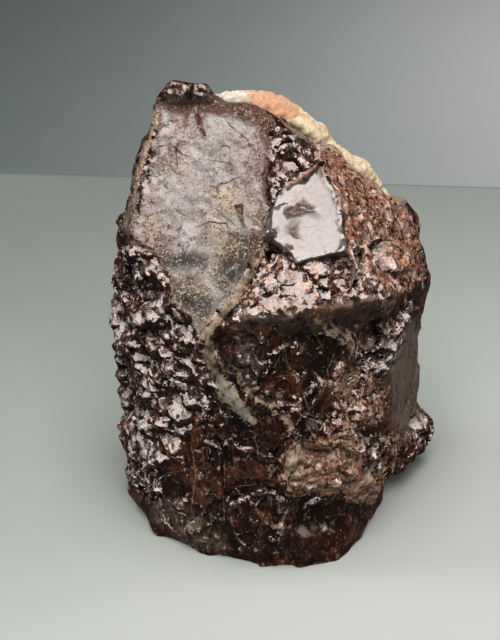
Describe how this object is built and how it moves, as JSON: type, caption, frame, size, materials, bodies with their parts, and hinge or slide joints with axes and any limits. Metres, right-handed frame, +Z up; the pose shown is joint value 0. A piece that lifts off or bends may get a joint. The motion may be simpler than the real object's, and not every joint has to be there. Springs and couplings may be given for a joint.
{
  "type": "samarskite specimen",
  "caption": "Upright broken hand specimen of glassy red-brown mineral with a satin sloping break, a mirror-like facet and a pale rind.",
  "frame": {"origin": "on the flat base that the piece stands on, under the middle of the mass", "axes": "+Z up along the piece's height; -Y out of the front, towards the side with the satin break and the mirror-like facet; +X to the viewer's right"},
  "size_m": [0.0525, 0.0456, 0.0729],
  "materials": {
    "glassy_samarskite": "glassy",
    "weathered_feldspar": "matte"
  },
  "bodies": {
    "root": {"samarskite_mass": "glassy_samarskite", "pale_rind": "weathered_feldspar"}
  },
  "joints": []
}
